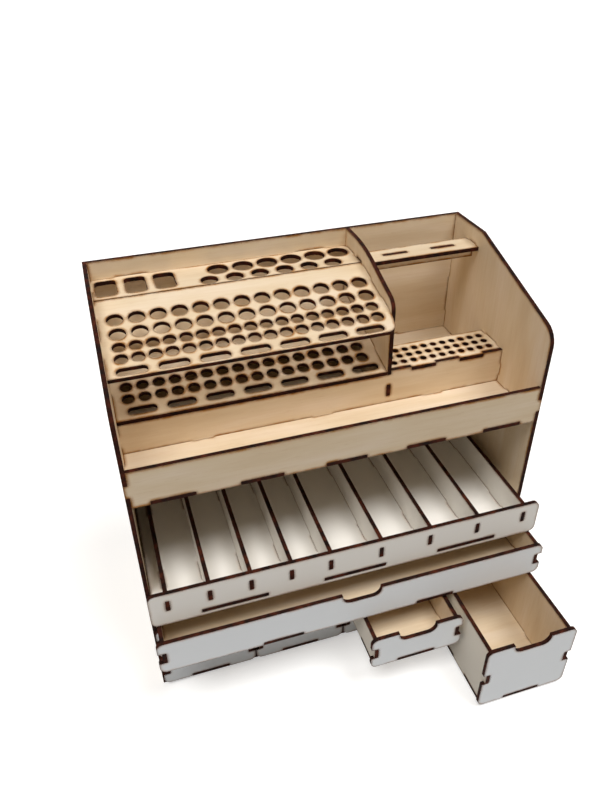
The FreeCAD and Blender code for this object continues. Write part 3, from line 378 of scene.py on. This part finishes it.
LOWER_RISE = 28  # from the deck up to the front edge of the lower shelf
lower_top = corners_of("deck_panel")[1][2] + LOWER_RISE
lower_depth = (inner_back - riser_face - lean_shift) / math.cos(LEAN)
lower_openings = shelf_slots(inset=18.9, pitch=27.4, row=7.7)
lower_openings += shelf_holes(SMALL_INSET, pitch=11.6, first_row=19.5, radius=SMALL_RADIUS)
leaning_shelf("lower_rack_shelf", front_corners=[(bay_right, 0)], front_tab=34, depth=lower_depth,
              openings=lower_openings, place=laid(riser_face, lower_top, LEAN))

# The upper shelf stands out in front of the divider, where its right end narrows to a
# rounded corner.
NOSE_TAPER, NOSE_RADIUS = 2.5, 8.0
upper_front = corners_of("upper_rack_shelf")[0][1]
top_low, top_high = corners_of("top_shelf")
top_front, top_height = top_low[1], top_high[2]
upper_depth = (top_front - FIT - lean_shift - upper_front) / math.cos(LEAN)
nose_end = (riser_face - upper_front - lean_shift) / math.cos(LEAN)
nose = [(bay_right - NOSE_TAPER, 0, NOSE_RADIUS), (bay_right, nose_end)]
upper_openings = shelf_slots(inset=16.2, pitch=26.9, row=5.2)
upper_openings += shelf_holes(SMALL_INSET, pitch=11.04, first_row=17.0, radius=SMALL_RADIUS)
upper_openings += shelf_holes(LARGE_INSET, pitch=14.68, first_row=40.8, radius=LARGE_RADIUS)
upper_place = laid(upper_front, top_height - upper_depth * math.sin(LEAN), LEAN)
leaning_shelf("upper_rack_shelf", front_corners=nose, front_tab=28, depth=upper_depth,
              openings=upper_openings, place=upper_place)

# The top shelf: three sockets for square handles, then two staggered rows of holes.
SOCKET_COUNT, SOCKET_PITCH, SOCKET_INSET = 3, 21, 10
SOCKET_HALF_WIDTH, SOCKET_HALF_DEPTH, SOCKET_RADIUS = 7.5, 12.5, 3.5
TOP_PITCH, TOP_HOLES_APART, TOP_END_INSET = 19, 5, 10.5
TOP_BACK_ROW_INSET, TOP_ROWS_APART = 11, 16
TOP_BACK_RADIUS, TOP_FRONT_RADIUS = 7.8, 6.4
TOP_TAB_LENGTH, TOP_TAB_INSET = 24, 30
top_depth = inner_back - top_front
end_tabs = spans([top_depth - BACK_TAB_INSET], TAB_LENGTH)
top_outline = [(bay_left, 0), (bay_right, 0)] + tabbed(bay_right, end_tabs, 1)
top_outline += [(bay_right, top_depth)]
for low, high in spans((bay_right - TOP_TAB_INSET, bay_left + TOP_TAB_INSET), TOP_TAB_LENGTH):
    tab_end = top_depth + SHEET
    top_outline += [(high, top_depth), (high, tab_end), (low, tab_end), (low, top_depth)]
top_outline += [(bay_left, top_depth)] + tabbed(bay_left, end_tabs, -1)
top_loops = [rounded(top_outline)]
for x in bay_left + SOCKET_INSET + SOCKET_PITCH * np.arange(SOCKET_COUNT):
    top_loops += [opening(x, top_depth / 2, SOCKET_HALF_WIDTH, SOCKET_HALF_DEPTH, SOCKET_RADIUS)]
last_hole = bay_right - TOP_END_INSET
first_hole = last_hole - TOP_HOLES_APART * TOP_PITCH
back_row = top_depth - TOP_BACK_ROW_INSET
front_row = back_row - TOP_ROWS_APART
stagger = TOP_PITCH / 2
for shift, row, radius in ((0, back_row, TOP_BACK_RADIUS), (stagger, front_row, TOP_FRONT_RADIUS)):
    top_loops += holes(first_hole - shift, last_hole - shift, TOP_PITCH, [row], radius)
top_board = cut_board("top_shelf_board", top_loops, laid(top_front, top_height))
stand_in(top_board, "top_shelf", "carcass", level_birch)

# The bit plate: a square grid of small holes, its front edge fingered into the riser.
BIT_RADIUS, BIT_PITCH, BIT_INSET, BIT_ROWS = 2.5, 8, 6, 3
PLATE_DEPTH, FINGER_LENGTH, FINGER_PITCH = 30, 20, 40
plate_left = bay_right + SHEET
plate_right = corners_of("right_side_panel")[0][0]
plate_middle = (plate_left + plate_right) / 2
plate_tabs = spans([PLATE_DEPTH / 2], TAB_LENGTH)
plate_outline = [(plate_left, 0)]
finger_middles = (plate_middle - FINGER_PITCH / 2, plate_middle + FINGER_PITCH / 2)
for low, high in spans(finger_middles, FINGER_LENGTH):
    plate_outline += [(low, 0), (low, -SHEET), (high, -SHEET), (high, 0)]
plate_outline += [(plate_right, 0)] + tabbed(plate_right, plate_tabs, 1)
plate_outline += [(plate_right, PLATE_DEPTH), (plate_left, PLATE_DEPTH)]
plate_outline += tabbed(plate_left, plate_tabs, -1)
first_bit, last_bit = plate_left + BIT_INSET, plate_right - BIT_INSET
bit_rows = BIT_INSET + BIT_PITCH * np.arange(BIT_ROWS)
plate_loops = [rounded(plate_outline)] + holes(first_bit, last_bit, BIT_PITCH, bit_rows, BIT_RADIUS)
bit_board = cut_board("bit_plate_board", plate_loops, laid(riser_face + SHEET, riser_top))
stand_in(bit_board, "bit_plate", "carcass", level_birch)

cover(level_birch, "pliers_bar")
cover(across_birch, "riser_panel", "pliers_bar_stiffener")
cover(side_birch, "rack_divider")

# ---------------------------------------------------------------- Bottle tray
# Plywood faced with white melamine paper on both sides: a floor, a front, a back
# and nine upright walls, whose tabs show in the front. Cuts are as dark as elsewhere.

WARM_PAPER = ("#ece7de", "#f3f0ea")
white_across = plywood("white_faced_plywood_upright", UPRIGHT_BOARD, papered="both",
                       paper_shades=WARM_PAPER)
white_level = plywood("white_faced_plywood_level", LEVEL_BOARD, papered="both",
                      paper_shades=WARM_PAPER)
white_side = plywood("white_faced_plywood_side", SIDE_BOARD, papered="both",
                     paper_shades=WARM_PAPER)


def upright(face):
    """Place of a board that stands across the object with its front face at a y."""
    return Matrix.Translation((0, face + SHEET / 2, 0)) @ Matrix.Rotation(math.pi / 2, 4, "X")


def tab_slot(u, v, length_u, length_v):
    """A sharp-cornered slot for a tab, with the fit all round it."""
    return opening(u, v, length_u / 2 + FIT, length_v / 2 + FIT, 0.01, 4)


FRONT_RADIUS = 5
NARROW_PITCH, NARROW_CELLS, WIDE_CELLS = 29.3, 4, 4
WALL_TAB_LENGTH, WALL_TAB_DROP = 9.5, 7
FLOOR_TAB_LENGTH, FLOOR_TAB_PITCH = 48, 90
(left, tray_face, low), (right, _, high) = corners_of("bottle_tray_front")
tray_corners = ((left, low), (right, low), (right, high), (left, high))
outer_wall = corners_of("bottle_tray_outer_walls")[1][0] - SHEET / 2
narrow_walls = -outer_wall + NARROW_PITCH * np.arange(NARROW_CELLS + 1)
wide_walls = np.linspace(narrow_walls[-1], outer_wall, WIDE_CELLS + 1)[1:]
wall_tab = high - WALL_TAB_DROP - WALL_TAB_LENGTH / 2
floor_tab = corners_of("bottle_tray_floor")[0][2] + SHEET / 2
tray_loops = [rounded([(*corner, FRONT_RADIUS) for corner in tray_corners])]
for x in (*narrow_walls, *wide_walls):
    tray_loops += [tab_slot(x, wall_tab, SHEET, WALL_TAB_LENGTH)]
for x in (-FLOOR_TAB_PITCH, 0, FLOOR_TAB_PITCH):
    tray_loops += [tab_slot(x, floor_tab, FLOOR_TAB_LENGTH, SHEET)]
tray_front = cut_board("bottle_tray_front_board", tray_loops, upright(tray_face))
stand_in(tray_front, "bottle_tray_front", "bottle_tray", white_across)
cover(white_across, "bottle_tray_back")
cover(white_level, "bottle_tray_floor")
cover(white_side, "bottle_tray_outer_walls", "bottle_tray_dividers")

# ---------------------------------------------------------------- Drawers
# Faced with the white paper outside only, so the fronts and outer sides are white
# and the inside is bare birch. The fronts' paper is tinted cool as painted cool light,
# and the outer sides' paper warm beige as painted warm shade. Each front is cut again
# here with smooth rounds: a finger notch at the top, side notches for the walls' tabs,
# bottom ones for the floor's.

# Paper tint of the fronts: a cool white, painted cool light.
PAPER_PAINTED_COOL_LIGHT = ("#e6e9ea", "#eff1f2")
# Paper tint of the drawers' outer sides: a warm beige, painted warm shade for white paper in shade
# under warm bounce light.
PAPER_PAINTED_WARM_SHADE = ("#e6dccb", "#efe8db")
front_faced = plywood("one_side_faced_plywood_front_painted_cool_light", UPRIGHT_BOARD, papered="front",
                      paper_shades=PAPER_PAINTED_COOL_LIGHT)
outer_faced = plywood("one_side_faced_plywood_drawer_side_painted_warm_shade", SIDE_BOARD, papered="columns",
                      paper_shades=PAPER_PAINTED_WARM_SHADE)
wide_faced = plywood("one_side_faced_plywood_wide_side", SIDE_BOARD, papered="wide")
SIDE_TAB_LENGTH, BOTTOM_TAB_LENGTH = 10, 30
GRIP_WIDTH, GRIP_DEPTH, GRIP_RADIUS = 30, 8, 6.5


def drawer_front(name, wall_inset, floor_tab_places=(0,)):
    """Front board of a drawer: rounded corners, notches for its tabs and a dip for the fingers."""
    (left, face, low), (right, _, high) = corners_of(name + "_front")
    middle = (left + right) / 2
    notch_left, notch_right = left + wall_inset + SHEET, right - wall_inset - SHEET
    [(tab_low, tab_high)] = spans([(low + high) / 2], SIDE_TAB_LENGTH + 2 * FIT)
    [(grip_left, grip_right)] = spans([middle], GRIP_WIDTH)
    grip_low = high - GRIP_DEPTH
    floor_tabs = [middle + place for place in floor_tab_places]

    outline = [(left, low, FRONT_RADIUS)]
    for start, end in spans(floor_tabs, BOTTOM_TAB_LENGTH + 2 * FIT):
        outline += [(start, low), (start, low + SHEET), (end, low + SHEET), (end, low)]
    outline += [(right, low, FRONT_RADIUS), (right, tab_low), (notch_right, tab_low)]
    outline += [(notch_right, tab_high), (right, tab_high), (right, high, FRONT_RADIUS)]
    outline += [(grip_right, high), (grip_right, grip_low, GRIP_RADIUS)]
    outline += [(grip_left, grip_low, GRIP_RADIUS), (grip_left, high)]
    outline += [(left, high, FRONT_RADIUS), (left, tab_high), (notch_left, tab_high)]
    outline += [(notch_left, tab_low), (left, tab_low)]
    board = cut_board(name + "_front_board", [rounded(outline)], upright(face))
    stand_in(board, name + "_front", name, front_faced)


SMALL_WALL_INSET, WIDE_WALL_INSET = 2.5, 3.2
WIDE_FLOOR_TABS = (-60, 60)
small_drawers = ["lower_drawer_1", "upper_drawer_1", "lower_drawer_2", "upper_drawer_2"]
small_drawers += ["lower_drawer_3", "upper_drawer_3", "tall_drawer"]
for drawer in small_drawers:
    drawer_front(drawer, SMALL_WALL_INSET)
    cover(outer_faced, drawer + "_sides")
    cover(level_birch, drawer + "_floor")
    cover(across_birch, drawer + "_back")
drawer_front("wide_drawer", WIDE_WALL_INSET, WIDE_FLOOR_TABS)
cover(wide_faced, "wide_drawer_left_wall", "wide_drawer_right_wall")
cover(level_birch, "wide_drawer_floor")
cover(across_birch, "wide_drawer_back")

# ---------------------------------------------------------------- Floor, light and camera
# A white table top, two broad soft lamps above the front on either side, and an even
# white room. Table and room look white, and throw a dimmer and tinted light.


def looked_at(tree):
    """1 for rays that look, straight, in a gloss or through glass, and 0 for rays that light."""
    path = add(tree, "LightPath").outputs
    seen = add(tree, "Math", {"operation": "MAXIMUM"},
               {0: path["Is Camera Ray"], 1: path["Is Glossy Ray"]})
    return add(tree, "Math", {"operation": "MAXIMUM"}, {0: seen, 1: path["Is Transmission Ray"]})


HALF_SPAN = 6.0
table_top = bpy.data.meshes.new("floor")
table_corners = [(HALF_SPAN * x, HALF_SPAN * y, 0) for x, y in ((-1, -1), (1, -1), (1, 1), (-1, 1))]
table_top.from_pydata(table_corners, [], [(0, 1, 2, 3)])
floor = bpy.data.objects.new("floor", table_top)
bpy.context.scene.collection.objects.link(floor)
paint = bpy.data.materials.new("white_table_top")
paint.use_nodes = True
top = paint.node_tree
top.nodes.clear()
# The table shows nearly as white as the room, and still shows the object's shadow.
table_seen = looked_at(top)
brightness = add(top, "MapRange", {"To Max": 0.45}, {"Value": table_seen})
glow = add(top, "Emission", {"Color": linear("#ffffff")}, {"Strength": brightness})
tint = add(top, "Mix", {"data_type": "RGBA", 6: linear("#a7abb0"), 7: linear("#e9e9e8")},
           {0: table_seen})
matt = add(top, "BsdfPrincipled", {"Roughness": 0.85, "Specular IOR Level": 0.2},
           {"Base Color": tint})
add(top, "OutputMaterial", links={"Surface": add(top, "AddShader", links={0: matt, 1: glow})})
table_top.materials.append(paint)

world = bpy.data.worlds.new("white_room")
bpy.context.scene.world = world
world.use_nodes = True
room = world.node_tree
room.nodes.clear()
room_seen = looked_at(room)
strength = add(room, "MapRange", {"To Min": 0.21, "To Max": 1.0}, {"Value": room_seen})
air = add(room, "Mix", {"data_type": "RGBA", 6: linear("#ffeedb"), 7: linear("#ffffff")},
          {0: room_seen})
backdrop = add(room, "Background", links={"Color": air, "Strength": strength})
add(room, "OutputWorld", links={"Surface": backdrop})

for side, lean_in, power in (("left", 0.34, 1.38), ("right", -0.34, 1.6)):
    lamp_data = bpy.data.lights.new("soft_lamp_" + side, "SUN")
    lamp_data.energy = power
    lamp_data.angle = math.radians(26)
    lamp = bpy.data.objects.new("soft_lamp_" + side, lamp_data)
    lamp.rotation_euler = Vector((lean_in, 0.30, -1)).to_track_quat("-Z", "Y").to_euler()
    bpy.context.scene.collection.objects.link(lamp)

PICTURE_HEIGHT, FOCAL_PIXELS = 800, 709.0
camera_data = bpy.data.cameras.new("camera")
camera_data.lens = FOCAL_PIXELS / PICTURE_HEIGHT * camera_data.sensor_width
camera_data.clip_start = 0.02
camera = bpy.data.objects.new("camera", camera_data)
bpy.context.scene.collection.objects.link(camera)
bpy.context.scene.camera = camera
azimuth, elevation, roll = np.radians([16.833, 35.328, -0.941])
level = math.cos(elevation)
forward = Vector((math.sin(azimuth) * level, math.cos(azimuth) * level, -math.sin(elevation)))
camera.location = (-0.1391, -0.4238, 0.5074)
camera.rotation_mode = "QUATERNION"
camera.rotation_quaternion = forward.to_track_quat("-Z", "Y") @ Quaternion((0, 0, 1), roll)
bpy.context.scene.view_settings.view_transform = "Standard"
